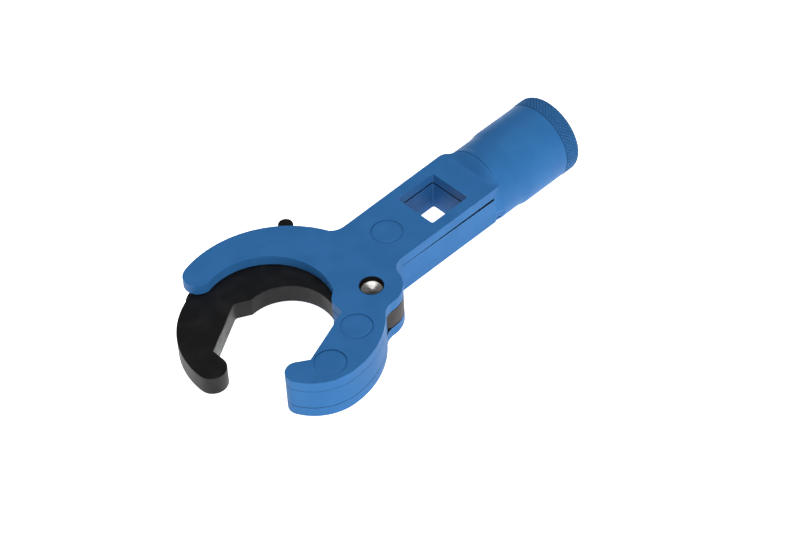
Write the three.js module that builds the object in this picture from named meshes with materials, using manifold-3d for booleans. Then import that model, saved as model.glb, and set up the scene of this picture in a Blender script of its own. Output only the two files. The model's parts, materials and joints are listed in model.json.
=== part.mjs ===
// Hinged-jaw hook wrench for a 30 mm hexagon, with two half-inch square drives.
//
// Two outer plates and a middle layer are riveted into a 12 mm sandwich.  The handle has a square
// through-hole, a socket is welded on its end, and a black jaw swings on a pin between the plates.
// Units are millimetres.  Drawing frame: pivot axis at x = 0, y = 0, handle along +X,
// underside of the bottom plate at z = 0.

import * as THREE from 'three';
import { mergeVertices } from 'three/addons/utils/BufferGeometryUtils.js';
import Module from 'manifold-3d';

// ---------- driving dimensions ----------

const PLATE_THICKNESS = 3;
const MIDDLE_THICKNESS = 6;
const JAW_THICKNESS = 5.5;
const SHIM_THICKNESS = 0.2;

const NUT_ACROSS_FLATS = 30;
const NUT_CLEARANCE = 0.1;
const FACET_ANGLE = 19.8; // the fixed facet's slope against the handle, in degrees
const GRIP_ANGLE = 10.5; // how far the jaw has opened when both facets lie on the nut
const OPEN_ANGLE = 28; // the jaw's full swing from its closed stop

const HANDLE_AXIS_Y = 10.8;
const HANDLE_WIDTH = 19;
const HANDLE_WIDENING = 0.5; // how much wider the handle is at the socket than beside the arm
const HANDLE_END_X = 45.7;
const HANDLE_CORNER = 1.2;

const DRIVE_SQUARE = 12.8; // a half-inch square with working clearance
const SQUARE_CORNER = 0.6;
const DRIVE_HOLE_X = 32.3;

const HUB_RADIUS = 7.9;
const HUB_GAP = 0.35;
const PIN_RADIUS = 2.95;
const PIN_HOLE_RADIUS = 3;
const JAW_BORE_RADIUS = 3.05;
const PIN_RECESS = 1.1;
const SHIM_RADIUS = 6;

const RIVET_RADIUS = 4.15;
const RIVET_HOLE_RADIUS = 4.25;
const RIVET_PLACES = {
  rivet_handle: [15.8, 10.7],
  rivet_jaw_root: [-12.1, -7.2],
  rivet_jaw_toe: [-24.8, -11.1],
};

const TANG_WIDTH = 14;
const TANG_LENGTH = 9;
const TANG_GAP = 0.3;

const SOCKET_AXIS_Z = 5; // the socket is welded on a little below the middle of the layers
const SOCKET_LENGTH = 27.8;
const SOCKET_START_X = 48.2;
const NECK_RADIUS = 10.55;
const NECK_LENGTH = 6.4;
const NECK_CHAMFER = 0.4;
const SHOULDER_LENGTH = 3.2;
const BODY_RADIUS = 11;
const RING_RADIUS = 11.2;
const RING_WIDTH = 5;
const RING_STEP = 0.2;
const SOCKET_CHAMFER = 0.8;
const RECESS_DEPTH = 15.5;
const RECESS_CHAMFER = 0.7;
const SOCKET_BORE_RADIUS = 4.5;
const DETENT_RADIUS = 2.4;
const DETENT_DEPTH = 8;

const PIN_CONE_HEIGHT = 0.5;
const PIN_CONE_WIDTH = 1;

const WELD_RADIUS = 10.45;
const WELD_LEG = 3.7;
const WELD_HOLLOW_RADIUS = 5.2;
const WELD_EDGE_SHIFT = 0.15; // moves the hollow towards the socket, so the fillet thins out upwards
const FIT_GAP = 0.05;

const CURVE_SEGMENTS = 16; // an arc gets twice as many straight pieces
const ROUND_SEGMENTS = 72;

// ---------- values worked out from them ----------

const TOTAL_THICKNESS = 2 * PLATE_THICKNESS + MIDDLE_THICKNESS;
const MID_Z = TOTAL_THICKNESS / 2;
const HANDLE_LOW_Y = HANDLE_AXIS_Y - HANDLE_WIDTH / 2;
const HANDLE_ROOT_X = 10;
const FACET_LENGTH = NUT_ACROSS_FLATS / Math.sqrt(3);
const JAW_LIFT = PLATE_THICKNESS + (MIDDLE_THICKNESS - JAW_THICKNESS) / 2;

const PIVOT = new THREE.Vector2(0, 0);
const rad = THREE.MathUtils.degToRad;

// The point at the end of a ray of the given length and angle (degrees) from a start point.
function away(start, length, angle) {
  return new THREE.Vector2(Math.cos(rad(angle)), Math.sin(rad(angle))).multiplyScalar(length).add(start);
}

// An outline's round stretch; it runs clockwise when the second angle is the smaller one.
function arcTo(outline, circle, fromAngle, toAngle) {
  const { x, y } = circle.centre;
  outline.absarc(x, y, circle.radius, rad(fromAngle), rad(toAngle), toAngle < fromAngle);
}

function onCircle(circle, angle) {
  return away(circle.centre, circle.radius, angle);
}

function lineTo(outline, point) {
  outline.lineTo(point.x, point.y);
}

// A rounded corner: the outline leaves towards the corner and arrives at the end point.
function roundTo(outline, corner, end) {
  outline.quadraticCurveTo(corner.x, corner.y, end.x, end.y);
}

const at = (x, y) => new THREE.Vector2(x, y);

// The handle's upper edge, which rises towards the socket; its lower edge is straight along X.
function handleTop(x) {
  const share = (x - HANDLE_ROOT_X) / (HANDLE_END_X - HANDLE_ROOT_X);
  return at(x, HANDLE_AXIS_Y + HANDLE_WIDTH / 2 + (share - 0.5) * HANDLE_WIDENING);
}

// A circle of another radius that shares the given circle's tangent at the given angle.
function sharingTangent(circle, radius, angle) {
  return { centre: away(circle.centre, circle.radius - radius, angle), radius };
}

// ---------- circles the outlines are drawn from ----------

const HUB = { centre: PIVOT, radius: HUB_RADIUS };
const HUB_SEAT = { centre: PIVOT, radius: HUB_RADIUS + HUB_GAP };

const ARM_OUTSIDE = { centre: at(-20.6, 10.5), radius: 28.85 };
const ARM_ROOT_ANGLE = 23;
const ARM_END_ANGLE = 104;
const ARM_CROTCH_X = 7.3;
const ARM_INSIDE = { centre: at(-22.7, 14), radius: 17.2 };
const ARM_INSIDE_END_ANGLE = 106;
const ARM_INSIDE_ROOT_ANGLE = -29;

const HOOK_BACK = { centre: at(-22.3, 7.3), radius: 24.6 };
const HOOK_TIP_ANGLE = 268.8;
const HOOK_TIP = sharingTangent(HOOK_BACK, 14.2, HOOK_TIP_ANGLE);
const HOOK_NOSE_ANGLE = 205;
const HOOK_NOSE = sharingTangent(HOOK_TIP, 3.3, HOOK_NOSE_ANGLE);
const HOOK_BACK_END_ANGLE = 318.3;
const HOOK_TOE_ANGLE = 55;

const FACET_ROOT = at(-11.2, -1.1);
const FACET_TOE = away(FACET_ROOT, FACET_LENGTH, 180 + FACET_ANGLE);

const LOBE_START_ANGLE = 265;
const LOBE_END_ANGLE = 348;

const MOUTH = { centre: at(-20.9, 8.6), radius: 12.2 };
const MOUTH_TOP_ANGLE = 96;
const MOUTH_NECK_ANGLE = -21.8;
const JAW_SIDE = { centre: at(-25.2, 11.2), radius: 22.8 };
const JAW_NOSE_ANGLE = 180.6;
const JAW_NOSE = sharingTangent(JAW_SIDE, 3.85, JAW_NOSE_ANGLE);
const JAW_CROWN_ANGLE = 120;
const JAW_CROWN = sharingTangent(JAW_SIDE, 28, JAW_CROWN_ANGLE);
const CROWN_TAB_ANGLE = 57;
const JAW_FACET_LENGTH = FACET_LENGTH - 0.8;
const VALLEY_ROUNDING = 0.8;
const TAB_ANGLE = 47;
const TAB_END = { centre: at(2, 34), radius: 2 };
const TAB_FRONT_LENGTH = 7;
const TAB_FRONT_ROUNDING = 2;
const TAB_REAR_ROUNDING = 2.5;

// Where the jaw's neck and its rear edge leave the hub; the neck faces the hook's horn when closed.
const NECK_TANGENT_ANGLE = 193.4;
const REAR_TANGENT_ANGLE = 18.6;
const SEAT_END_ANGLE = 252;

const HORN_TIP_Y = 3;
const HORN_TIP_X = -9.95;
const HORN_ROOT_X = -10.7;

// ---------- outlines ----------

// The hook's working edge and back, from the root of its facet round to the pivot lobe.
function traceHook(outline) {
  lineTo(outline, FACET_ROOT);
  lineTo(outline, FACET_TOE);
  arcTo(outline, HOOK_NOSE, HOOK_TOE_ANGLE, HOOK_NOSE_ANGLE);
  arcTo(outline, HOOK_TIP, HOOK_NOSE_ANGLE, HOOK_TIP_ANGLE);
  arcTo(outline, HOOK_BACK, HOOK_TIP_ANGLE, HOOK_BACK_END_ANGLE);
}

function circleHole(x, y, radius) {
  const hole = new THREE.Path();
  hole.absarc(x, y, radius, 0, 2 * Math.PI, false);
  return hole;
}

function traceRoundedSquare(path, x, y, side, corner) {
  const half = side / 2;
  path.moveTo(x - half + corner, y - half);
  path.lineTo(x + half - corner, y - half);
  path.absarc(x + half - corner, y - half + corner, corner, rad(270), rad(360), false);
  path.absarc(x + half - corner, y + half - corner, corner, rad(0), rad(90), false);
  path.absarc(x - half + corner, y + half - corner, corner, rad(90), rad(180), false);
  path.absarc(x - half + corner, y - half + corner, corner, rad(180), rad(270), false);
  return path;
}

function driveHole() {
  return traceRoundedSquare(new THREE.Path(), DRIVE_HOLE_X, HANDLE_AXIS_Y, DRIVE_SQUARE, SQUARE_CORNER);
}

function rivetHole(name) {
  const [x, y] = RIVET_PLACES[name];
  return circleHole(x, y, RIVET_HOLE_RADIUS);
}

// Both outer plates: handle, guiding arm over the jaw, pivot lobe and fixed hook.
function plateShape() {
  const outline = new THREE.Shape();
  outline.moveTo(HANDLE_END_X, HANDLE_LOW_Y);
  const corner = handleTop(HANDLE_END_X);
  lineTo(outline, at(corner.x, corner.y - HANDLE_CORNER));
  roundTo(outline, corner, handleTop(HANDLE_END_X - HANDLE_CORNER));
  lineTo(outline, handleTop(HANDLE_ROOT_X));
  roundTo(outline, handleTop(ARM_CROTCH_X), onCircle(ARM_OUTSIDE, ARM_ROOT_ANGLE));
  arcTo(outline, ARM_OUTSIDE, ARM_ROOT_ANGLE, ARM_END_ANGLE);
  roundTo(outline, at(-31.4, 37.5), at(-31.35, 34.4));
  roundTo(outline, at(-31.1, 30.9), onCircle(ARM_INSIDE, ARM_INSIDE_END_ANGLE));
  arcTo(outline, ARM_INSIDE, ARM_INSIDE_END_ANGLE, ARM_INSIDE_ROOT_ANGLE);
  roundTo(outline, at(-10.4, 4.2), at(-10.7, 2.7));
  traceHook(outline);
  roundTo(outline, at(-2.7, -8), onCircle(HUB, LOBE_START_ANGLE));
  arcTo(outline, HUB, LOBE_START_ANGLE, LOBE_END_ANGLE);
  roundTo(outline, at(8.6, HANDLE_LOW_Y), at(12.2, HANDLE_LOW_Y));
  outline.holes.push(driveHole(), circleHole(0, 0, PIN_HOLE_RADIUS));
  outline.holes.push(...Object.keys(RIVET_PLACES).map(rivetHole));
  return outline;
}

// The line along the jaw's back, turned to where it stands when the jaw is fully open.
function openStopPoint(y) {
  const angle = REAR_TANGENT_ANGLE - OPEN_ANGLE;
  const touch = onCircle(HUB_SEAT, angle);
  return at(touch.x - (y - touch.y) * Math.tan(rad(angle)), y);
}

function handleSpacerShape() {
  const outline = new THREE.Shape();
  const tangLow = HANDLE_AXIS_Y - TANG_WIDTH / 2;
  const tangHigh = HANDLE_AXIS_Y + TANG_WIDTH / 2;
  const tangEnd = HANDLE_END_X + TANG_LENGTH;
  outline.moveTo(openStopPoint(HANDLE_LOW_Y).x, HANDLE_LOW_Y);
  lineTo(outline, at(HANDLE_END_X, HANDLE_LOW_Y));
  lineTo(outline, at(HANDLE_END_X, tangLow));
  lineTo(outline, at(tangEnd, tangLow));
  lineTo(outline, at(tangEnd, tangHigh));
  lineTo(outline, at(HANDLE_END_X, tangHigh));
  lineTo(outline, handleTop(HANDLE_END_X));
  lineTo(outline, openStopPoint(handleTop(HANDLE_ROOT_X).y));
  outline.holes.push(driveHole(), rivetHole('rivet_handle'));
  return outline;
}

// The hook's middle layer; its horn, beside the hub, is the closed stop.
function hookSpacerShape() {
  const outline = new THREE.Shape();
  outline.moveTo(HORN_TIP_X, HORN_TIP_Y);
  lineTo(outline, at(HORN_ROOT_X, HORN_TIP_Y));
  traceHook(outline);
  arcTo(outline, HUB_SEAT, SEAT_END_ANGLE, NECK_TANGENT_ANGLE);
  outline.holes.push(rivetHole('rivet_jaw_root'), rivetHole('rivet_jaw_toe'));
  return outline;
}

// The jaw's hexagon corner: on the nut, its facet lies parallel to the fixed one and across from it.
function facetValley() {
  const across = away(FACET_ROOT, NUT_ACROSS_FLATS + NUT_CLEARANCE, 90 + FACET_ANGLE);
  return across.rotateAround(PIVOT, rad(GRIP_ANGLE));
}

// How far down its rear side the thumb tab meets the line that leaves the hub at its tangent.
function tabRearLength(tabRight) {
  const rearNormal = away(PIVOT, 1, REAR_TANGENT_ANGLE);
  const tabDirection = away(PIVOT, 1, TAB_ANGLE);
  return (tabRight.dot(rearNormal) - HUB_RADIUS) / tabDirection.dot(rearNormal);
}

function traceTab(outline) {
  const tabRight = onCircle(TAB_END, TAB_ANGLE - 90);
  const tabLeft = onCircle(TAB_END, TAB_ANGLE + 90);
  const rearRoot = away(tabRight, tabRearLength(tabRight), TAB_ANGLE + 180);
  const frontRoot = away(tabLeft, TAB_FRONT_LENGTH, TAB_ANGLE + 180);
  const frontCorner = away(frontRoot, TAB_FRONT_ROUNDING, TAB_ANGLE + 180);
  lineTo(outline, away(rearRoot, TAB_REAR_ROUNDING, REAR_TANGENT_ANGLE - 90));
  roundTo(outline, rearRoot, away(rearRoot, TAB_REAR_ROUNDING, TAB_ANGLE));
  arcTo(outline, TAB_END, TAB_ANGLE - 90, TAB_ANGLE + 90);
  lineTo(outline, frontRoot);
  roundTo(outline, frontCorner, onCircle(JAW_CROWN, CROWN_TAB_ANGLE));
}

// The swinging jaw, drawn closed: hub, thumb tab, crown, nose, two facets of the hexagon, mouth.
function jawShape() {
  const outline = new THREE.Shape();
  const facetAngle = FACET_ANGLE + GRIP_ANGLE;
  const valley = facetValley();
  arcTo(outline, HUB, NECK_TANGENT_ANGLE, 360 + REAR_TANGENT_ANGLE);
  traceTab(outline);
  arcTo(outline, JAW_CROWN, CROWN_TAB_ANGLE, JAW_CROWN_ANGLE);
  arcTo(outline, JAW_SIDE, JAW_CROWN_ANGLE, JAW_NOSE_ANGLE);
  arcTo(outline, JAW_NOSE, JAW_NOSE_ANGLE, 360);
  lineTo(outline, away(valley, JAW_FACET_LENGTH, 180 + facetAngle));
  lineTo(outline, away(valley, VALLEY_ROUNDING, 180 + facetAngle));
  roundTo(outline, valley, away(valley, VALLEY_ROUNDING, facetAngle - 60));
  arcTo(outline, MOUTH, MOUTH_TOP_ANGLE, MOUTH_NECK_ANGLE);
  outline.holes.push(circleHole(0, 0, JAW_BORE_RADIUS));
  return outline;
}

// ---------- solids ----------

const wasm = await Module();
wasm.setup();

function toManifold(geometry) {
  const bare = geometry.clone();
  bare.deleteAttribute('normal');
  bare.deleteAttribute('uv');
  const welded = mergeVertices(bare, 1e-5);
  const vertProperties = new Float32Array(welded.attributes.position.array);
  const triVerts = new Uint32Array(welded.index.array);
  return new wasm.Manifold(new wasm.Mesh({ numProp: 3, vertProperties, triVerts }));
}

function fromManifold(solid) {
  const mesh = solid.getMesh();
  const geometry = new THREE.BufferGeometry();
  geometry.setAttribute('position', new THREE.BufferAttribute(new Float32Array(mesh.vertProperties), 3));
  geometry.setIndex(new THREE.BufferAttribute(new Uint32Array(mesh.triVerts), 1));
  const flat = geometry.toNonIndexed();
  flat.computeVertexNormals();
  return flat;
}

function layer(shape, bottom, thickness) {
  const options = { depth: thickness, bevelEnabled: false, curveSegments: CURVE_SEGMENTS };
  return new THREE.ExtrudeGeometry(shape, options).translate(0, 0, bottom);
}

function disc(x, y, radius, bottom, height) {
  const shape = new THREE.Shape();
  shape.absarc(x, y, radius, 0, 2 * Math.PI, false);
  return layer(shape, bottom, height);
}

function washer(radius, holeRadius, bottom, height) {
  const shape = new THREE.Shape();
  shape.absarc(0, 0, radius, 0, 2 * Math.PI, false);
  shape.holes.push(circleHole(0, 0, holeRadius));
  return layer(shape, bottom, height);
}

// The pin's ends are turned to a shallow cone.
function pivotPin() {
  const low = PIN_RECESS;
  const high = TOTAL_THICKNESS - PIN_RECESS;
  const profile = [
    [0, low], [PIN_RADIUS - PIN_CONE_WIDTH, low], [PIN_RADIUS, low + PIN_CONE_HEIGHT],
    [PIN_RADIUS, high - PIN_CONE_HEIGHT], [PIN_RADIUS - PIN_CONE_WIDTH, high], [0, high],
  ].map(([radius, height]) => at(radius, height));
  return new THREE.LatheGeometry(profile, 2 * CURVE_SEGMENTS).rotateX(rad(90));
}

// Turns a lathe or extrusion made along its own axis so that it lies on the socket's axis.
function ontoSocketAxis(geometry) {
  return geometry.rotateZ(rad(-90)).translate(0, HANDLE_AXIS_Y, SOCKET_AXIS_Z);
}

function squarePrism(side, corner, fromX, length) {
  const shape = traceRoundedSquare(new THREE.Shape(), 0, 0, side, corner);
  const options = { depth: length, bevelEnabled: false, curveSegments: 2 };
  const prism = new THREE.ExtrudeGeometry(shape, options).rotateY(rad(90));
  return prism.translate(fromX, HANDLE_AXIS_Y, SOCKET_AXIS_Z);
}

function rod(radius, fromX, length) {
  const cylinder = new THREE.CylinderGeometry(radius, radius, length, ROUND_SEGMENTS);
  return ontoSocketAxis(cylinder).translate(fromX + length / 2, 0, 0);
}

function block(fromX, toX, halfWidth, fromZ, toZ) {
  const box = new THREE.BoxGeometry(toX - fromX, 2 * halfWidth, toZ - fromZ);
  return box.translate((fromX + toX) / 2, HANDLE_AXIS_Y, (fromZ + toZ) / 2);
}

// The shoulder between neck and body follows half a cosine wave.
function shoulderProfile(start) {
  return [0, 0.25, 0.5, 0.75, 1].map((step) => {
    const rise = (1 - Math.cos(Math.PI * step)) / 2;
    return [NECK_RADIUS + rise * (BODY_RADIUS - NECK_RADIUS), start + step * SHOULDER_LENGTH];
  });
}

function socketBlank() {
  const start = SOCKET_START_X;
  const end = start + SOCKET_LENGTH;
  const ringStart = end - RING_WIDTH;
  const profile = [
    [0, start], [NECK_RADIUS - NECK_CHAMFER, start], [NECK_RADIUS, start + NECK_CHAMFER],
    ...shoulderProfile(start + NECK_LENGTH),
    [BODY_RADIUS, ringStart], [RING_RADIUS, ringStart + RING_STEP],
    [RING_RADIUS, end - SOCKET_CHAMFER], [RING_RADIUS - SOCKET_CHAMFER, end], [0, end],
  ].map(([radius, x]) => at(radius, x));
  return ontoSocketAxis(new THREE.LatheGeometry(profile, ROUND_SEGMENTS));
}

// The chamfer at the mouth of the square recess.
function recessFlare(end) {
  const wide = (DRIVE_SQUARE / 2 + RECESS_CHAMFER) * Math.SQRT2;
  const narrow = (DRIVE_SQUARE / 2 - RECESS_CHAMFER) * Math.SQRT2;
  const flare = new THREE.CylinderGeometry(wide, narrow, 2 * RECESS_CHAMFER, 4).rotateY(rad(45));
  return ontoSocketAxis(flare).translate(end, 0, 0);
}

// The dents in the recess walls that the ball of a drive tool snaps into.
function detents(x) {
  const reach = DRIVE_SQUARE / 2 + DETENT_RADIUS / 2;
  return [[0, 1], [0, -1], [1, 0], [-1, 0]].map(([sideY, sideZ]) => {
    const ball = new THREE.SphereGeometry(DETENT_RADIUS, 20, 12);
    return ball.translate(x, HANDLE_AXIS_Y + sideY * reach, SOCKET_AXIS_Z + sideZ * reach);
  });
}

function driveSocket() {
  const end = SOCKET_START_X + SOCKET_LENGTH;
  const tangHalfWidth = TANG_WIDTH / 2 + TANG_GAP;
  const tangHalfHeight = MIDDLE_THICKNESS / 2 + TANG_GAP;
  const pocketEnd = HANDLE_END_X + TANG_LENGTH + TANG_GAP;
  const cuts = [
    squarePrism(DRIVE_SQUARE, SQUARE_CORNER, end - RECESS_DEPTH, RECESS_DEPTH + 1),
    recessFlare(end),
    rod(SOCKET_BORE_RADIUS, SOCKET_START_X - 1, SOCKET_LENGTH - RECESS_DEPTH + 2),
    block(SOCKET_START_X - 1, pocketEnd, tangHalfWidth, MID_Z - tangHalfHeight, MID_Z + tangHalfHeight),
    ...detents(end - DETENT_DEPTH),
  ];
  const blank = toManifold(socketBlank());
  return fromManifold(cuts.reduce((solid, cut) => solid.subtract(toManifold(cut)), blank));
}

// A hollow fillet between a plate's face and the socket's front; side is +1 on top, -1 below.
function weldFillet(side) {
  const face = MID_Z + side * (MID_Z + FIT_GAP);
  const front = SOCKET_START_X - FIT_GAP;
  const toe = front - WELD_LEG;
  const lump = toManifold(rod(WELD_RADIUS, toe, WELD_LEG));
  const outward = face + side * WELD_RADIUS;
  const beyondFace = block(toe, front, NECK_RADIUS, Math.min(face, outward), Math.max(face, outward));
  const radius = WELD_HOLLOW_RADIUS;
  const hollow = new THREE.CylinderGeometry(radius, radius, 3 * WELD_RADIUS, ROUND_SEGMENTS);
  hollow.translate(front - radius + WELD_EDGE_SHIFT, HANDLE_AXIS_Y, face + side * (radius + FIT_GAP));
  return fromManifold(lump.intersect(toManifold(beyondFace)).subtract(toManifold(hollow)));
}

// The weld's root: it fills the space between the layers' ends and the socket's front.
function weldRoot() {
  const from = HANDLE_END_X + FIT_GAP;
  const to = SOCKET_START_X - FIT_GAP;
  const lump = toManifold(rod(WELD_RADIUS, from, to - from));
  const slab = block(from, to, NECK_RADIUS, 0, TOTAL_THICKNESS);
  const tangHalfWidth = TANG_WIDTH / 2 + FIT_GAP;
  const tangHalfHeight = MIDDLE_THICKNESS / 2 + FIT_GAP;
  const tang = block(from - 1, to + 1, tangHalfWidth, MID_Z - tangHalfHeight, MID_Z + tangHalfHeight);
  return fromManifold(lump.intersect(toManifold(slab)).subtract(toManifold(tang)));
}

// ---------- colours and assembly ----------

function bluePaint() {
  return new THREE.MeshStandardMaterial({ color: 0x2f66a6, roughness: 0.55, metalness: 0 });
}

function blackCoat() {
  return new THREE.MeshStandardMaterial({ color: 0x1c1d1f, roughness: 0.6, metalness: 0.1 });
}

function brightSteel() {
  return new THREE.MeshStandardMaterial({ color: 0xb9b5ad, roughness: 0.3, metalness: 1 });
}

const tool = new THREE.Group();

function addPart(name, geometry, material) {
  const mesh = new THREE.Mesh(geometry, material);
  mesh.name = name;
  tool.add(mesh);
}

function addShim(name, bottom) {
  addPart(name, washer(SHIM_RADIUS, JAW_BORE_RADIUS, bottom, SHIM_THICKNESS), brightSteel());
}

const TOP_PLATE_Z = TOTAL_THICKNESS - PLATE_THICKNESS;
const SHIM_DROP = (JAW_LIFT - PLATE_THICKNESS - SHIM_THICKNESS) / 2;

addPart('top_plate', layer(plateShape(), TOP_PLATE_Z, PLATE_THICKNESS), bluePaint());
addPart('bottom_plate', layer(plateShape(), 0, PLATE_THICKNESS), bluePaint());
addPart('handle_spacer', layer(handleSpacerShape(), PLATE_THICKNESS, MIDDLE_THICKNESS), bluePaint());
addPart('hook_spacer', layer(hookSpacerShape(), PLATE_THICKNESS, MIDDLE_THICKNESS), bluePaint());
addPart('swing_jaw', layer(jawShape(), JAW_LIFT, JAW_THICKNESS), blackCoat());
addPart('pivot_pin', pivotPin(), brightSteel());
addShim('lower_shim', PLATE_THICKNESS + SHIM_DROP);
addShim('upper_shim', JAW_LIFT + JAW_THICKNESS + SHIM_DROP);
for (const [name, [x, y]] of Object.entries(RIVET_PLACES)) {
  addPart(name, disc(x, y, RIVET_RADIUS, 0, TOTAL_THICKNESS), bluePaint());
}
addPart('drive_socket', driveSocket(), bluePaint());
addPart('upper_weld', weldFillet(1), bluePaint());
addPart('lower_weld', weldFillet(-1), bluePaint());
addPart('weld_root', weldRoot(), bluePaint());

// The record's origin is the middle of the bounding box, at its lowest level.
const bounds = new THREE.Box3().setFromObject(tool);
const middle = bounds.getCenter(new THREE.Vector3());
tool.position.set(-middle.x, -middle.y, -bounds.min.z);
const part = new THREE.Group();
part.add(tool);

export default part;
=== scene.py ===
"""Looks of the hinged-jaw hook wrench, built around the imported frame.

Refined meshes replace the CAD pieces, except the two shims, which are painted as they are.
Materials, light and camera follow the photo.
"""

import json
import math

import bmesh
import bpy
from mathutils import Matrix, Vector
from mathutils import noise as lumps

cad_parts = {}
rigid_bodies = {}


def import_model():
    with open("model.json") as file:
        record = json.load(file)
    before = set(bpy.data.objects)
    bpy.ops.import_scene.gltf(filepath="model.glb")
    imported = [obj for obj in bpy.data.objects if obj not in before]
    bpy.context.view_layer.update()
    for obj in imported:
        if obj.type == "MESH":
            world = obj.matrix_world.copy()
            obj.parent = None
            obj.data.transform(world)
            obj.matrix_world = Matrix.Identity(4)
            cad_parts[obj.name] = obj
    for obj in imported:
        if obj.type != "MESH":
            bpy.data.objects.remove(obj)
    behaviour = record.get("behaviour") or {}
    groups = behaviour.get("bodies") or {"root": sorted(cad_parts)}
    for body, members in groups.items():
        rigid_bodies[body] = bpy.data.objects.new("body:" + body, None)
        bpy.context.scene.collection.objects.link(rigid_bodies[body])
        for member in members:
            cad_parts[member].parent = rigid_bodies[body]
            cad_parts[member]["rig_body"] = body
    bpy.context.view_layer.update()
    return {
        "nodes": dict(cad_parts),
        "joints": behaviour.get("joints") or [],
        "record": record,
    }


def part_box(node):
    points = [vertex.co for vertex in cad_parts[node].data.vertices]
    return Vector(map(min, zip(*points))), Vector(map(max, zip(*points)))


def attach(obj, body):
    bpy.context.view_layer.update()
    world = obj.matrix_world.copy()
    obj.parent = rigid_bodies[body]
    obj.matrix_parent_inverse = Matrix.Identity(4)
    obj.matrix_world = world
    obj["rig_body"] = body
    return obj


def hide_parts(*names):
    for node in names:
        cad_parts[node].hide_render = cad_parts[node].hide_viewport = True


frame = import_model()

MM = 0.001

# Keeps a division by a sine or cosine clear of zero.
TINY = 1e-6

# ---------- driving values ----------

# The camera, as fitted to the tool's edges and outline. Angles are in degrees, and the distance
# is to a target halfway up the plates' stack.
CAMERA_AZIMUTH = -42.187
CAMERA_ELEVATION = 46.049
CAMERA_ROLL = -3.309
CAMERA_DISTANCE = 710.61 * MM
CAMERA_TARGET = Vector((-0.649, -7.252, 12.2)) * MM
CAMERA_LENS = 126
CAMERA_CLIP_START = 0.01
SENSOR_WIDTH = 36

# The tool lies on the socket's front edge, the hook's nose and the arm's tip, so the floor
# slopes, by these angles in degrees.
FLOOR_SLOPE_X = 3.853
FLOOR_SLOPE_Y = 0.397
FLOOR_SIZE = 3
FLOOR_COLOUR = (0.9, 0.9, 0.9, 1)
FLOOR_ROUGHNESS = 0.9
FLOOR_GLOW = 1.05

# Each lamp: name, azimuth and elevation in degrees, distance, size, power, and whether the tool
# mirrors it.
LAMPS = (
    ("front_softbox", -10, 18, 0.9, 0.5, 5.2, False),
    ("back_softbox", 150, 62, 1.1, 0.5, 4, False),
    ("top_softbox", -60, 75, 1.1, 1.2, 7.7, True),
)
WORLD_LIGHT = 0.15
WHITE = (1, 1, 1, 1)

# How wide edges are rounded, and from what angle in degrees an edge counts as sharp.
EDGE_ROUNDING = 0.28 * MM
SEAM_ROUNDING = 0.22 * MM
RIVET_ROUNDING = 0.14 * MM
ROUNDING_SEGMENTS = 3
SHARP_ANGLE = 30
SOCKET_SHARP_ANGLE = 24
WELD_SHARP_ANGLE = 40

# CAD vertices closer than this are one vertex, and faces flatter than this, in degrees, one face.
MERGE_DISTANCE = 0.002 * MM
FLAT_ANGLE = 0.5

# How far a point may lie from a level, a seam, a rivet or the square hole and still be on it.
LEVEL_MARGIN = 0.01 * MM
SEAM_MARGIN = 0.05 * MM
RIVET_MARGIN = 0.2 * MM
HOLE_MARGIN = 0.1 * MM

# The gap under the top plate, along the handle's side, opens towards the socket. The seam round
# the square hole is a slope on the top of the middle layer's walls.
GAP_STEPS = 6
GAP_DEPTH = 2.2 * MM
GAP_HEIGHT = 0.8 * MM
HOLE_SEAM_HEIGHT = 0.45 * MM
HOLE_SEAM_DEPTH = 0.5 * MM

# Each rivet is a flat face that dips at its rim, which leaves a soft groove round it. The dip is
# shallower on one side, and that side turns by RIVET_THIN_TURN radians from rivet to rivet.
RIVETS = ("rivet_handle", "rivet_jaw_root", "rivet_jaw_toe")
RIVET_DIP = 0.3 * MM
RIVET_DIP_CHANGE = 0.35
RIVET_DIP_WIDTH = 0.6 * MM
RIVET_DIP_STEPS = 7
RIVET_FACE_SHARES = (0.02, 0.3, 0.6)
RIVET_FIRST_THIN = 0.6
RIVET_THIN_TURN = 1.3
RIVET_PAINT = 0.09 * MM

# The pin's ends are dished: a rounded rim, then a shallow cone down to a small flat.
PIN_RIM_WIDTH = 0.28 * MM
PIN_RIM_DROP = 0.2 * MM
PIN_RIM_STEPS = 6
PIN_CONE_DEPTH = 0.7 * MM
PIN_CONE_CURVE = 1.15
PIN_CONE_STEPS = 8
PIN_TIP_RADIUS = 0.3 * MM
PIN_TIP_CENTRE = 0.2
LATHE_SEGMENTS = 128

# The socket's outside and its two openings. Its length, axis and ring radius come from the frame.
NECK_RADIUS = 10.55 * MM
NECK_LENGTH = 6.4 * MM
NECK_CHAMFER = 0.4 * MM
SHOULDER_LENGTH = 3.2 * MM
SHOULDER_STEPS = 10
BODY_RADIUS = 11 * MM
BODY_STEPS = 12
RING_WIDTH = 5 * MM
RING_STEPS = 32
RING_GROOVE_DEPTH = 0.3 * MM
RING_GROOVE_WIDTH = 0.4 * MM
RING_GROOVE_FLOOR = (0.3, 0.7)
END_CHAMFER = 0.8 * MM
END_DROP = 0.2 * MM
END_STEPS = 4
RECESS_HALF = 6.4 * MM
RECESS_CORNER = 0.6 * MM
RECESS_DEPTH = 15.5 * MM
RECESS_CHAMFER = 0.7 * MM
RECESS_STEPS = 36
DETENT_DEPTH = 8 * MM
DETENT_RADIUS = 2.4 * MM
DETENT_CENTRE = 7.6 * MM
SOCKET_BORE = 4.5 * MM
BORE_END_SHARE = 0.6
POCKET_HALF_Y = 7.3 * MM
POCKET_HALF_Z = 3.3 * MM
POCKET_RISE = 1 * MM
POCKET_DEPTH = 6.8 * MM

KNURL_TEETH = 64
KNURL_PITCH = 1.1 * MM
KNURL_DEPTH = 0.36 * MM
STEPS_PER_TOOTH = 8

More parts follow.
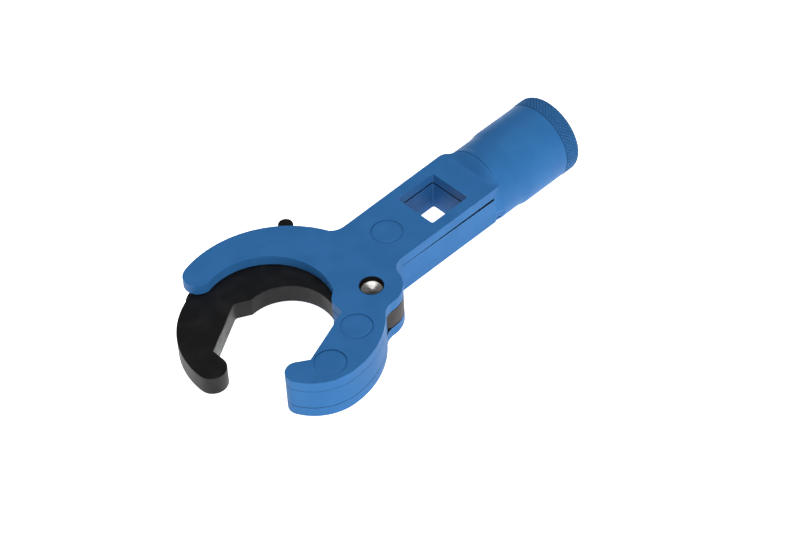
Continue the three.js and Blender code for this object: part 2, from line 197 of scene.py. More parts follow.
# The hollow fillets above and below. Each climbs to WELD_TOP_RADIUS from the socket's axis, plus
# a crown in its middle, and then runs out over the neck until it is sunk below its surface.
WELD_LEG = 3.75 * MM
WELD_TOP_RADIUS = 10.42 * MM
WELD_SIDE_INSET = 0.02 * MM
WELD_CROWN = 0.5 * MM
WELD_HOLLOW_STEPS = 12
WELD_LAP = 2.4 * MM
WELD_LAP_STEPS = 6
WELD_LAP_SUNK = 0.06 * MM
WELD_SUNK = 0.12 * MM
WELD_SECTIONS = 48
WELD_UNEVEN = 0.07 * MM
WELD_RIPPLE_SIZE = 2.2 * MM

# The bead round the layers' ends, with a notch at each lower corner. The notch fades in between
# two depths below the axis, and between two cosines of the angle from sideways.
ROOT_SECTIONS = 14
ROOT_SEGMENTS = 160
ROOT_START_INSET = 0.04 * MM
ROOT_UNEVEN = 0.5 * WELD_UNEVEN
ROOT_NOTCH_CUT = 0.6 * MM
ROOT_NOTCH_DEPTHS = (1.6 * MM, 2.8 * MM)
ROOT_NOTCH_COSINES = (0.6, 0.8)

# ---------- the look of each material ----------

# Noise ranges, from faint to strong contrast, that patches are spread over.
SOFT_PATCHES = (0.3, 0.7)
CLEAR_PATCHES = (0.35, 0.65)
PALE_EDGE_PATCHES = (0.4, 0.62)

# How far the rounded and the true normal agree: from open face to edge.
EDGE_AGREEMENT = (0.995, 0.9)
EDGE_SAMPLES = 6

BLUE = (0.027, 0.129, 0.325)
BLUE_DARK = (0.024, 0.118, 0.302)
# Paler blue along edges: rubbed paint, and a painted highlight along them.
BLUE_WEAR_AND_HIGHLIGHT = (0.04, 0.17, 0.4)
BLUE_CLOUD_SIZE = 9 * MM
BLUE_WEAR_AND_HIGHLIGHT_WIDTH = 0.3 * MM
BLUE_WEAR_AND_HIGHLIGHT_SIZE = 1.6 * MM
BLUE_WEAR_AND_HIGHLIGHT_AMOUNT = (0.1, 0.6)
BLUE_ROUGHNESS = (0.44, 0.52)
BLUE_ROUGHNESS_SIZE = 5 * MM
BLUE_SPECULAR = 0.08
BLUE_PEEL_SIZE = 0.55 * MM
BLUE_PEEL_HEIGHT = 0.02 * MM

# A near black, for the pin's hole, for bare faces between the plates, and for painted shade on
# the seams' lips and in the knurl's grooves.
BARE_BLACK_AND_SHADE = (0.006, 0.006, 0.007)
# Near black within these distances from the pin's axis.
PIN_HOLE_DARK_FADE = (3.1 * MM, 3.3 * MM)
# Faces between the plates that are more level than this are darkened: bare faces, and painted
# shade on the seams' lips.
DARKENED_FACE_SLOPE = (0.15, 0.45)
MASK_FADE = 0.1 * MM
LAYER_FADE = (MASK_FADE, 0.05 * MM)
# How dark the painted shade in the knurl's grooves is.
GROOVE_PAINTED_SHADE = 0.35
GROOVE_FADE = (0.8 * KNURL_DEPTH, 0.3 * KNURL_DEPTH)
GROOVE_FLOOR_FADE = (1.3 * KNURL_DEPTH, 1.1 * KNURL_DEPTH)

JAW_BLACK = (0.0042, 0.0042, 0.0046)
JAW_DUSTY = (0.0085, 0.0085, 0.009)
JAW_DUST_SIZE = 4 * MM
JAW_DUST_RANGE = (0.4, 0.7)
JAW_RUBBED = (0.05, 0.05, 0.051)
JAW_RUBBED_WIDTH = 0.25 * MM
JAW_RUBBED_SIZE = 1.2 * MM
JAW_RUBBED_AMOUNT = (0, 0.7)
JAW_ROUGHNESS = (0.44, 0.54)
JAW_ROUGHNESS_SIZE = 3 * MM
JAW_SPECULAR = 0.2
JAW_GRAIN_SIZE = 0.3 * MM
JAW_GRAIN_HEIGHT = 0.015 * MM

# Wear on the jaw: round the hub's side, and on the facet, with a depth and half a length.
HUB_WORN = (0.035, 0.03, 0.027)
HUB_RADIUS = 7.9 * MM
HUB_WEAR_FADE = (0.25 * MM, 0.1 * MM)
HUB_WEAR_SIZE = 1.5 * MM
HUB_WEAR_AMOUNT = (0.35, 1)
JAW_WORKED = (0.2, 0.2, 0.195)
FACET_SKIN = (-0.3 * MM, -0.09 * MM)
FACET_REACH = 8.3 * MM
FACET_SOLID_SHARE = 0.94
FACET_HEEL_WEAR = 0.3
STREAK_SIZE = 0.5 * MM
STREAK_STRETCH = 0.12
STREAK_AMOUNT = (0.3, 1)

STEEL_BRIGHT = (0.82, 0.8, 0.77)
STEEL_STAINED = (0.62, 0.59, 0.55)
STEEL_STAIN_SIZE = 1.2 * MM
STEEL_STAIN_RANGE = (0.35, 0.7)
STEEL_ROUGHNESS = (0.13, 0.2)
STEEL_ROUGHNESS_SIZE = 0.6 * MM
STEEL_STRETCH = 0.8
STEEL_RING_PITCH = 0.5 * MM
STEEL_RING_WOBBLE = 0.4
STEEL_RING_HEIGHT = 0.01 * MM
STEEL_RING_STRENGTH = 0.6

FINE_BUMP_STRENGTH = 0.4
FINE_DETAIL = 4
DUST_DETAIL = 5


# ---------- mesh helpers ----------


def evenly(start, end, steps):
    return [start + (end - start) * i / steps for i in range(steps + 1)]


def full_turn(segments):
    """The angles of a full turn in equal steps."""
    return [2 * math.pi * step / segments for step in range(segments)]


def smooth_step(value, start, end):
    """0 before the start and 1 after the end, with a soft change between."""
    share = min(max((value - start) / (end - start), 0), 1)
    return share * share * (3 - 2 * share)


def eased(share):
    """A share from 0 to 1, slowed at both ends like a cosine."""
    return (1 - math.cos(math.pi * share)) / 2


def add_linked(name, data):
    linked = bpy.data.objects.new(name, data)
    bpy.context.scene.collection.objects.link(linked)
    return linked


def add_piece(name, mesh, body):
    piece = add_linked(name, mesh)
    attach(piece, body)
    return piece


def shade_by_angle(mesh, angle):
    for polygon in mesh.polygons:
        polygon.use_smooth = True
    mesh.set_sharp_from_angle(angle=math.radians(angle))


def mesh_from(work, name):
    """Turns the bmesh into a mesh and frees it."""
    mesh = bpy.data.meshes.new(name)
    work.to_mesh(mesh)
    work.free()
    return mesh


def closed_mesh(work, name, sharp_angle):
    """Turns a closed bmesh into a mesh whose faces point outwards."""
    bmesh.ops.recalc_face_normals(work, faces=work.faces)
    mesh = mesh_from(work, name)
    shade_by_angle(mesh, sharp_angle)
    return mesh


def bridge(work, near, far):
    """Faces between two closed loops of equally many vertices."""
    for step in range(len(near)):
        after = (step + 1) % len(near)
        work.faces.new((near[step], near[after], far[after], far[step]))


# ---------- pieces refined from the CAD solids ----------


def welded(node):
    """The CAD node's solid as a bmesh, with shared vertices and whole faces, not triangles."""
    work = bmesh.new()
    work.from_mesh(frame["nodes"][node].data)
    bmesh.ops.remove_doubles(work, verts=work.verts, dist=MERGE_DISTANCE)
    bmesh.ops.dissolve_limit(
        work, angle_limit=math.radians(FLAT_ANGLE), verts=work.verts, edges=work.edges
    )
    return work


def rivet_circles():
    """Centre and radius, in plan, of each rivet and so of the hole around it."""
    circles = []
    for node in RIVETS:
        low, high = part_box(node)
        circles.append(((low + high) / 2, (high.x - low.x) / 2))
    return circles


RIVET_CIRCLES = rivet_circles()


def on_rivet(point):
    for centre, radius in RIVET_CIRCLES:
        away = math.hypot(point.x - centre.x, point.y - centre.y)
        if away < radius + RIVET_MARGIN:
            return True
    return False


def square_hole_centre():
    openings = frame["record"]["physics"]["openings"]
    low, high = next(o["box_m"] for o in openings if o["name"] == "drive_square_hole")
    return (Vector(low) + Vector(high)) / 2


HOLE_CENTRE = square_hole_centre()


def on_hole(point):
    reach = RECESS_HALF + HOLE_MARGIN
    return abs(point.x - HOLE_CENTRE.x) < reach and abs(point.y - HOLE_CENTRE.y) < reach


def is_sharp(edge):
    return len(edge.link_faces) == 2 and edge.calc_face_angle() >= math.radians(SHARP_ANGLE)


def rounding_of(edge, seam_levels):
    """How wide an edge is rounded: less at a seam level, and least round a rivet."""
    middle = (edge.verts[0].co + edge.verts[1].co) / 2
    if on_rivet(middle):
        return RIVET_ROUNDING
    if any(abs(middle.z - level) < GAP_HEIGHT + SEAM_MARGIN for level in seam_levels):
        return SEAM_ROUNDING
    return EDGE_ROUNDING


def round_edges(piece):
    """Adds a bevel that rounds each edge by its weight's share of the full width."""
    bevel = piece.modifiers.new("rounded_edges", "BEVEL")
    bevel.limit_method = "WEIGHT"
    bevel.width = EDGE_ROUNDING
    bevel.segments = ROUNDING_SEGMENTS
    bevel.use_clamp_overlap = True
    bevel.harden_normals = True


def rounded_copy(node, seam_levels=(), reshape=None):
    """The CAD node's shape, reshaped if asked, with its sharp edges rounded."""
    work = welded(node)
    if reshape:
        reshape(work)
    weights = work.edges.layers.float.new("bevel_weight_edge")
    for edge in work.edges:
        if is_sharp(edge):
            edge[weights] = rounding_of(edge, seam_levels) / EDGE_ROUNDING
    mesh = mesh_from(work, node + "_finished")
    piece = add_piece(node + "_finished", mesh, frame["nodes"][node]["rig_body"])
    round_edges(piece)
    shade_by_angle(mesh, SHARP_ANGLE)
    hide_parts(node)
    return piece


def slice_at(work, faces, place, normal):
    """Cuts the faces along the plane through the place."""
    edges = {edge for face in faces for edge in face.edges}
    verts = {vertex for face in faces for vertex in face.verts}
    parts = [*verts, *edges, *faces]
    bmesh.ops.bisect_plane(work, geom=parts, plane_co=place, plane_no=normal)


def chamfer_hole_rim(work, top):
    """Slopes the top of the square hole's walls back, so a seam shows under the top plate."""
    walls = [f for f in work.faces if abs(f.normal.z) < 0.5 and on_hole(f.calc_center_median())]
    slice_at(work, walls, (0, 0, top - HOLE_SEAM_HEIGHT), (0, 0, 1))
    for vertex in work.verts:
        point = vertex.co
        if point.z > top - LEVEL_MARGIN and on_hole(point):
            point.x += (point.x - HOLE_CENTRE.x) * HOLE_SEAM_DEPTH / RECESS_HALF
            point.y += (point.y - HOLE_CENTRE.y) * HOLE_SEAM_DEPTH / RECESS_HALF


def loosen_handle_spacer(work):
    """Opens a seam round the square hole and a gap along the handle's near side."""
    low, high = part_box("handle_spacer")
    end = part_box("top_plate")[1].x
    chamfer_hole_rim(work, high.z)
    slice_at(work, work.faces[:], (0, low.y + GAP_DEPTH, 0), (0, 1, 0))
    for x in evenly(low.x, end, GAP_STEPS)[1:-1]:
        slice_at(work, work.faces[:], (x, 0, 0), (1, 0, 0))
    for vertex in work.verts:
        point = vertex.co
        if point.z > high.z - LEVEL_MARGIN and point.y < low.y + LEVEL_MARGIN:
            point.z -= GAP_HEIGHT * (point.x - low.x) / (end - low.x)


# ---------- lathe work ----------


def lathe(name, centre, profile_at, segments):
    """A solid of revolution about a vertical axis; the profile may change with the angle."""
    work = bmesh.new()
    rows = []
    for index in range(len(profile_at(0))):
        row = []
        for angle in full_turn(segments):
            radius, height = profile_at(angle)[index]
            x = centre.x + radius * math.cos(angle)
            y = centre.y + radius * math.sin(angle)
            row.append(work.verts.new((x, y, centre.z + height)))
        rows.append(row)
    for upper, lower in zip(rows, rows[1:]):
        bridge(work, upper, lower)
    work.faces.new(rows[0])
    work.faces.new(rows[-1])
    return closed_mesh(work, name, SHARP_ANGLE)


def mirrored(end):
    """A profile from one end's points: the same points follow, upside down."""
    return end + [(radius, -height) for radius, height in reversed(end)]


def painted_rivet(node, thin_side):
    """A flush rivet under paint: only a soft groove shows, shallower towards its thin side."""
    low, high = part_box(node)
    half = (high.z - low.z) / 2
    radius = (high.x - low.x) / 2 + RIVET_PAINT

    def profile_at(angle):
        depth = RIVET_DIP * (1 - RIVET_DIP_CHANGE * math.cos(angle - thin_side))
        end = [(radius * share, half) for share in RIVET_FACE_SHARES]
        for share in evenly(0, 1, RIVET_DIP_STEPS):
            out = radius - RIVET_DIP_WIDTH * (1 - share)
            end.append((out, half - depth * eased(share)))
        return mirrored(end)

    mesh = lathe(node + "_finished", (low + high) / 2, profile_at, LATHE_SEGMENTS)
    piece = add_piece(node + "_finished", mesh, "wrench_body")
    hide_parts(node)
    return piece


def pin_end(radius, half):
    """One end's profile, from the cone's tip out to the rim's outer edge."""
    rim = radius - PIN_RIM_WIDTH
    bottom = half - PIN_CONE_DEPTH
    points = [(PIN_TIP_RADIUS * PIN_TIP_CENTRE, bottom), (PIN_TIP_RADIUS, bottom)]
    for share in evenly(0, 1, PIN_CONE_STEPS)[1:]:
        out = PIN_TIP_RADIUS + (rim - PIN_TIP_RADIUS) * share
        points.append((out, half - PIN_CONE_DEPTH * (1 - share**PIN_CONE_CURVE)))
    for share in evenly(0, 1, PIN_RIM_STEPS)[1:]:
        turn = share * math.pi / 2
        drop = PIN_RIM_DROP * (1 - math.cos(turn))
        points.append((rim + PIN_RIM_WIDTH * math.sin(turn), half - drop))
    return points


def turned_pin():
    """A round pin whose ends are dished: a narrow rim round a shallow turned cone."""
    low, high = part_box("pivot_pin")
    profile = mirrored(pin_end((high.x - low.x) / 2, (high.z - low.z) / 2))
    mesh = lathe("turned_pin", (low + high) / 2, lambda angle: profile, LATHE_SEGMENTS)
    piece = add_piece("turned_pin", mesh, "wrench_body")
    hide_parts("pivot_pin")
    return piece


# ---------- the turned socket ----------


def square_radius(angle, half, corner):
    """Distance from the centre to a rounded square's wall, in the given direction."""
    c, s = abs(math.cos(angle)), abs(math.sin(angle))
    flat = half / max(c, s)
    inner = half - corner
    if min(c, s) * flat <= inner:
        return flat
    along = inner * (c + s)
    return along + math.sqrt(max(along * along - 2 * inner * inner + corner * corner, 0))


def pocket_radius(angle):
    """Distance from the socket's axis to the wall of the tang's pocket, a little above it."""
    c, s = math.cos(angle), math.sin(angle)
    to_side = POCKET_HALF_Y / max(abs(c), TINY)
    wall = POCKET_HALF_Z + (POCKET_RISE if s > 0 else -POCKET_RISE)
    return min(to_side, wall / max(abs(s), TINY))


def detent_radius(angle, depth):
    """Distance to the recess wall, sunk on each side where the drive tool's ball snaps in."""
    wall = square_radius(angle, RECESS_HALF, RECESS_CORNER)
    quarter = math.pi / 2
    off_wall = (angle + quarter / 2) % quarter - quarter / 2
    across = DETENT_CENTRE * math.sin(off_wall)
    flat_square = across * across + (depth - DETENT_DEPTH) ** 2
    reach = DETENT_RADIUS**2 - flat_square
    if reach <= 0:
        return wall
    return max(wall, DETENT_CENTRE * math.cos(off_wall) + math.sqrt(reach))


def knurl_height(angle, x):
    """0 in the grooves and 1 on the diamonds' tips."""
    turn = angle / (2 * math.pi) * KNURL_TEETH
    slide = x / KNURL_PITCH
    groove_a = abs(2 * ((turn + slide) % 1) - 1)
    groove_b = abs(2 * ((turn - slide) % 1) - 1)
    return 1 - max(groove_a, groove_b)


# Each row of the socket is a place on its axis and a function: the radius there at an angle.


def round_row(x, radius):
    return x, lambda angle: radius


def knurl_row(x, ring_radius):
    return x, lambda angle: ring_radius - KNURL_DEPTH * (1 - knurl_height(angle, x))


def recess_row(end, depth):
    return end - depth, lambda angle: detent_radius(angle, depth)


def body_rows(start, ring_start):
    """The neck, the shoulder that swells out from it, and the body up to the ring."""
    neck_end = start + NECK_LENGTH
    rows = [round_row(start, NECK_RADIUS - NECK_CHAMFER)]
    rows.append(round_row(start + NECK_CHAMFER, NECK_RADIUS))
    for share in evenly(0, 1, SHOULDER_STEPS):
        radius = NECK_RADIUS + eased(share) * (BODY_RADIUS - NECK_RADIUS)
        rows.append(round_row(neck_end + share * SHOULDER_LENGTH, radius))
    for x in evenly(neck_end + SHOULDER_LENGTH, ring_start, BODY_STEPS)[1:]:
        rows.append(round_row(x, BODY_RADIUS))
    return rows


def ring_rows(ring_start, end, ring_radius):
    """The groove before the ring, the knurl, and the rounded outer edge of the end."""
    knurl_end = end - END_CHAMFER
    rows = []
    for share in RING_GROOVE_FLOOR:
        x = ring_start + share * RING_GROOVE_WIDTH
        rows.append(round_row(x, BODY_RADIUS - RING_GROOVE_DEPTH))
    for x in evenly(ring_start + RING_GROOVE_WIDTH, knurl_end, RING_STEPS):
        rows.append(knurl_row(x, ring_radius))
    for share in evenly(0, 1, END_STEPS)[1:]:
        turn = share * math.pi / 2
        x = knurl_end + END_CHAMFER * math.sin(turn)
        radius = ring_radius - END_DROP - END_CHAMFER * (1 - math.cos(turn))
        rows.append(round_row(x, radius))
    return rows


def inside_rows(start, end):
    """The square recess from the end inwards, then the bore, then the tang's pocket."""
    flare = RECESS_HALF + RECESS_CHAMFER
    corner = RECESS_CORNER + RECESS_CHAMFER
    rows = [(end, lambda angle: square_radius(angle, flare, corner))]
    for depth in evenly(RECESS_CHAMFER, RECESS_DEPTH, RECESS_STEPS):
        rows.append(recess_row(end, depth))
    rows.append(round_row(end - RECESS_DEPTH, SOCKET_BORE))
    rows.append(round_row(start + POCKET_DEPTH, SOCKET_BORE * BORE_END_SHARE))
    rows.append((start + POCKET_DEPTH, pocket_radius))
    rows.append((start, pocket_radius))
    return rows


def turned_socket():
    """The whole socket as one closed skin: along the outside and back through the inside."""
    low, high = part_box("drive_socket")
    centre = (low + high) / 2
    ring_start = high.x - RING_WIDTH
    rows = body_rows(low.x, ring_start)
    rows += ring_rows(ring_start, high.x, (high.z - low.z) / 2)
    rows += inside_rows(low.x, high.x)
    work = bmesh.new()
    loops = []
    for x, radius_at in rows:
        loop = []
        for angle in full_turn(KNURL_TEETH * STEPS_PER_TOOTH):
            radius = radius_at(angle)
            y = centre.y + radius * math.cos(angle)
            z = centre.z + radius * math.sin(angle)
            loop.append(work.verts.new((x, y, z)))
        loops.append(loop)
    for loop, following in zip(loops, [*loops[1:], loops[0]]):
        bridge(work, loop, following)
    mesh = closed_mesh(work, "turned_socket", SOCKET_SHARP_ANGLE)
    piece = add_piece("turned_socket", mesh, "wrench_body")
    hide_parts("drive_socket")
    return piece


# ---------- welds ----------


def skinned(name, sections):
    """A closed solid through sections of equal point counts, with a cap at each end."""
    work = bmesh.new()
    rows = [[work.verts.new(point) for point in section] for section in sections]
    for near, far in zip(rows, rows[1:]):
        bridge(work, near, far)
    work.faces.new(rows[0])
    work.faces.new(rows[-1])
    return closed_mesh(work, name, WELD_SHARP_ANGLE)


def fillet_section(axis, off, face, front, tallest, crown, side):
    """One slice across the weld: from its toe up the hollow, out over the neck, back inside."""
    y = axis.y + off
    level = abs(face - axis.z)
    rise = math.sqrt(WELD_TOP_RADIUS**2 - off**2) - level + crown
    leg = WELD_LEG * math.sqrt(rise / tallest)
    points = []
    for share in evenly(0, 1, WELD_HOLLOW_STEPS):
        turn = share * math.pi / 2
        x = front - leg * (1 - math.sin(turn))
        z = face + side * rise * (1 - math.cos(turn))
        lump = lumps.noise(Vector((x, y, z)) / WELD_RIPPLE_SIZE)
        ripple = WELD_UNEVEN * lump * math.sin(2 * turn)
        points.append((x, y, z + side * ripple))
    crest = level + rise
    foot = math.sqrt((NECK_RADIUS - WELD_LAP_SUNK) ** 2 - off**2)
    for share in evenly(0, 1, WELD_LAP_STEPS)[1:]:
        lap = crest + (foot - crest) * smooth_step(share, 0, 1)
        points.append((front + share * WELD_LAP, y, axis.z + side * lap))
    points.append((front + WELD_LAP, y, face - side * WELD_SUNK))
    points.append((front - leg, y, face - side * WELD_SUNK))
    return points


def fillet_bead(node, plate, side):
    """The hollow fillet between a plate's face and the socket's front, melted into both."""
    low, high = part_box(plate)
    face = high.z if side > 0 else low.z
    axis = sum(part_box("drive_socket"), Vector()) / 2
    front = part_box("drive_socket")[0].x
    level = abs(face - axis.z)
    tallest = WELD_TOP_RADIUS - level + WELD_CROWN
    half_width = math.sqrt((WELD_TOP_RADIUS - WELD_SIDE_INSET) ** 2 - level**2)
    sections = []
    for across in evenly(-math.pi / 2, math.pi / 2, WELD_SECTIONS):
        off = half_width * math.sin(across)
        crown = WELD_CROWN * math.cos(across) ** 2
        sections.append(fillet_section(axis, off, face, front, tallest, crown, side))
    piece = add_piece(node + "_bead", skinned(node + "_bead", sections), "wrench_body")
    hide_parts(node)
    return piece


def root_radius(angle, share, near, far, up, down):
    """The bead's reach from the axis: square to the layers at its start, round at its end."""
    c, s = abs(math.cos(angle)), math.sin(angle)
    to_face = (up if s > 0 else down) / max(abs(s), TINY)
    to_side = (far if math.cos(angle) > 0 else near) / max(c, TINY)
    layers = min(to_side, to_face)
    radius = layers + (NECK_RADIUS - layers) * smooth_step(share, 0, 1)
    depth = -radius * s
    notch = smooth_step(depth, *ROOT_NOTCH_DEPTHS) * smooth_step(c, *ROOT_NOTCH_COSINES)
    return radius - ROOT_NOTCH_CUT * notch * math.sin(math.pi * share)


def root_section(axis, x, share, reaches):
    """One slice of the root bead, square to the socket's axis."""
    section = []
    for angle in full_turn(ROOT_SEGMENTS):
        radius = root_radius(angle, share, *reaches)
        y = axis.y + radius * math.cos(angle)
        z = axis.z + radius * math.sin(angle)
        lump = lumps.noise(Vector((x, y, z)) / WELD_RIPPLE_SIZE)
        ripple = 1 + ROOT_UNEVEN * lump / radius
        section.append((x, axis.y + (y - axis.y) * ripple, axis.z + (z - axis.z) * ripple))
    return section


def root_bead():
    """Weld metal round the layers' ends; the bottom plate's corners stick out of it."""
    low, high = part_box("weld_root")
    axis = sum(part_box("drive_socket"), Vector()) / 2
    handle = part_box("handle_spacer")
    near = axis.y - handle[0].y - ROOT_START_INSET
    far = handle[1].y - axis.y - ROOT_START_INSET
    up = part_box("top_plate")[1].z - axis.z - ROOT_START_INSET
    down = axis.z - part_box("bottom_plate")[0].z - ROOT_START_INSET
    overlap = WELD_SUNK + NECK_CHAMFER
    sections = []
    for share in evenly(0, 1, ROOT_SECTIONS):
        x = low.x - overlap + (high.x - low.x + 2 * overlap) * share
        sections.append(root_section(axis, x, share, (near, far, up, down)))
    piece = add_piece("weld_root_bead", skinned("weld_root_bead", sections), "wrench_body")
    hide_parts("weld_root")
    return piece


# ---------- node helpers ----------


def new_material(name):
    material = bpy.data.materials.new(name)
    material.use_nodes = True
    tree = material.node_tree
    return material, tree, tree.nodes["Principled BSDF"]


def feed(tree, socket, value):
    """Gives the socket another node's output, or a value of its own."""
    if isinstance(value, bpy.types.NodeSocket):
        tree.links.new(value, socket)
    else:
        socket.default_value = value


def number_node(tree, operation, first, second=0):
    node = tree.nodes.new("ShaderNodeMath")
    node.operation = operation
    feed(tree, node.inputs[0], first)
    feed(tree, node.inputs[1], second)
    return node.outputs[0]


def multiplied(tree, first, second):
    return number_node(tree, "MULTIPLY", first, second)


def added(tree, first, second):
    return number_node(tree, "ADD", first, second)


def absolute(tree, value):
    return number_node(tree, "ABSOLUTE", value)


def vector_node(tree, operation, first, second=(0, 0, 0)):
    node = tree.nodes.new("ShaderNodeVectorMath")
    node.operation = operation
    feed(tree, node.inputs[0], first)
    feed(tree, node.inputs[1], second)
    return node


def dotted(tree, first, second):
    """How far the first vector reaches along the second."""
    return vector_node(tree, "DOT_PRODUCT", first, second).outputs["Value"]


def shifted(tree, vector, origin):
    return vector_node(tree, "SUBTRACT", vector, origin).outputs["Vector"]


def from_axis(tree, where, origin, across):
    """Distance from an axis through the origin; across is 1 for directions square to it."""
    offset = vector_node(tree, "MULTIPLY", shifted(tree, where, origin), across)
    return vector_node(tree, "LENGTH", offset.outputs["Vector"]).outputs["Value"]


def remap(tree, value, source, target, smooth=False):
    """Spreads the source range over the target range, and stops at the target's ends."""
    node = tree.nodes.new("ShaderNodeMapRange")
    node.interpolation_type = "SMOOTHSTEP" if smooth else "LINEAR"
    feed(tree, node.inputs["Value"], value)
    names = ("From Min", "From Max", "To Min", "To Max")
    for name, number in zip(names, (*source, *target)):
        node.inputs[name].default_value = number
    return node.outputs["Result"]


def noise(tree, coordinates, size, detail=3):
    """A noise whose features are about the given size across."""
    node = tree.nodes.new("ShaderNodeTexNoise")
    node.inputs["Scale"].default_value = 1 / size
    node.inputs["Detail"].default_value = detail
    feed(tree, node.inputs["Vector"], coordinates)
    return node.outputs["Fac"]


def patches(tree, where, size, source, target=(0, 1), detail=3, smooth=False):
    """A noise whose source range is spread over the target range."""
    return remap(tree, noise(tree, where, size, detail), source, target, smooth)


def mixed(tree, factor, first, second):
    """A colour between two: each may be a colour or another node's output."""
    node = tree.nodes.new("ShaderNodeMix")
    node.data_type = "RGBA"
    feed(tree, node.inputs["Factor"], factor)
    sockets = [socket for socket in node.inputs if socket.type == "RGBA"]
    for socket, colour in zip(sockets, (first, second)):
        feed(tree, socket, (*colour, 1) if isinstance(colour, tuple) else colour)
    return next(socket for socket in node.outputs if socket.type == "RGBA")


def bumped(tree, shader, height, distance, strength=FINE_BUMP_STRENGTH):
    node = tree.nodes.new("ShaderNodeBump")
    node.inputs["Distance"].default_value = distance
    node.inputs["Strength"].default_value = strength
    feed(tree, node.inputs["Height"], height)
    feed(tree, shader.inputs["Normal"], node.outputs["Normal"])


def object_coordinates(tree):
    return tree.nodes.new("ShaderNodeTexCoord").outputs["Object"]


def true_normal(tree):
    return tree.nodes.new("ShaderNodeNewGeometry").outputs["True Normal"]


def edge_mask(tree, radius):
    """Near 1 along edges, both outward and inward, and 0 on open faces."""
    bevel = tree.nodes.new("ShaderNodeBevel")
    bevel.samples = EDGE_SAMPLES
    bevel.inputs["Radius"].default_value = radius
    agreement = dotted(tree, bevel.outputs["Normal"], true_normal(tree))
    return remap(tree, agreement, EDGE_AGREEMENT, (0, 1), smooth=True)


# ---------- materials ----------

PIN_PLACE = Vector(frame["joints"][0]["pos_m"])
ALONG_X = (1, 0, 0)
ALONG_Z = (0, 0, 1)
ACROSS_X = (0, 1, 1)
ACROSS_Z = (1, 1, 0)


def from_pin_axis(tree, where):
    return from_axis(tree, where, PIN_PLACE, ACROSS_Z)


def between_plates(tree, where):
    """1 on level and sloping faces between the two plates: bare faces the paint does not reach,
    and the seams' rounded lips, which get painted shade.
    """
    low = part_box("bottom_plate")[1].z
    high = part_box("top_plate")[0].z
    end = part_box("top_plate")[1].x
    off_middle = absolute(tree, added(tree, dotted(tree, where, ALONG_Z), -(low + high) / 2))
    reach = (high - low) / 2
    inside = remap(tree, off_middle, [reach + fade for fade in LAYER_FADE], (0, 1))
    slope = absolute(tree, dotted(tree, true_normal(tree), ALONG_Z))
    level = remap(tree, slope, DARKENED_FACE_SLOPE, (0, 1))
    layers = remap(tree, dotted(tree, where, ALONG_X), (end, end + MASK_FADE), (1, 0))
    return multiplied(tree, multiplied(tree, inside, level), layers)


def knurl_grooves(tree, where):
    """1 at the bottom of the knurl's grooves and 0 on its tips and on the rest of the tool."""
    low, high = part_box("drive_socket")
    reach = from_axis(tree, where, (low + high) / 2, ACROSS_X)
    tip = (high.z - low.z) / 2
    deep = remap(tree, reach, [tip - fade for fade in GROOVE_FADE], (1, 0))
    outside = remap(tree, reach, [tip - fade for fade in GROOVE_FLOOR_FADE], (0, 1))
    ring_start = high.x - RING_WIDTH
    start = (ring_start, ring_start + MASK_FADE)
    within = remap(tree, dotted(tree, where, ALONG_X), start, (0, 1))
    return multiplied(tree, multiplied(tree, deep, outside), within)


def blue_enamel():
    """Satin enamel, cloudy and with a fine orange peel, paler on edges from wear and a painted
    highlight.

    The pin's hole is near black, faces between the plates are bare black, and painted shade
    darkens the seams' lips and the knurl's grooves.
    """
    material, tree, shader = new_material("blue_enamel")
    where = object_coordinates(tree)
    clouds = patches(tree, where, BLUE_CLOUD_SIZE, CLEAR_PATCHES, smooth=True)
    colour = mixed(tree, clouds, BLUE, BLUE_DARK)
    # Paler edges: rubbed paint, with a painted highlight on the edges.
    patchy = patches(tree, where, BLUE_WEAR_AND_HIGHLIGHT_SIZE, PALE_EDGE_PATCHES, BLUE_WEAR_AND_HIGHLIGHT_AMOUNT)
    rubbed = multiplied(tree, edge_mask(tree, BLUE_WEAR_AND_HIGHLIGHT_WIDTH), patchy)
    colour = mixed(tree, rubbed, colour, BLUE_WEAR_AND_HIGHLIGHT)
    # Near black in the pin's hole.
    dark_in_pin_hole = remap(tree, from_pin_axis(tree, where), PIN_HOLE_DARK_FADE, (1, 0), smooth=True)
    colour = mixed(tree, dark_in_pin_hole, colour, BARE_BLACK_AND_SHADE)
    # Bare black faces between the plates, and painted shade on the seams' rounded lips.
    colour = mixed(tree, between_plates(tree, where), colour, BARE_BLACK_AND_SHADE)
    # Painted shade in the knurl's grooves.
    grooves = multiplied(tree, knurl_grooves(tree, where), GROOVE_PAINTED_SHADE)
    colour = mixed(tree, grooves, colour, BARE_BLACK_AND_SHADE)
    feed(tree, shader.inputs["Base Color"], colour)
    rough = patches(tree, where, BLUE_ROUGHNESS_SIZE, SOFT_PATCHES, BLUE_ROUGHNESS)
    feed(tree, shader.inputs["Roughness"], rough)
    feed(tree, shader.inputs["Specular IOR Level"], BLUE_SPECULAR)
    bumped(tree, shader, noise(tree, where, BLUE_PEEL_SIZE, FINE_DETAIL), BLUE_PEEL_HEIGHT)
    return material


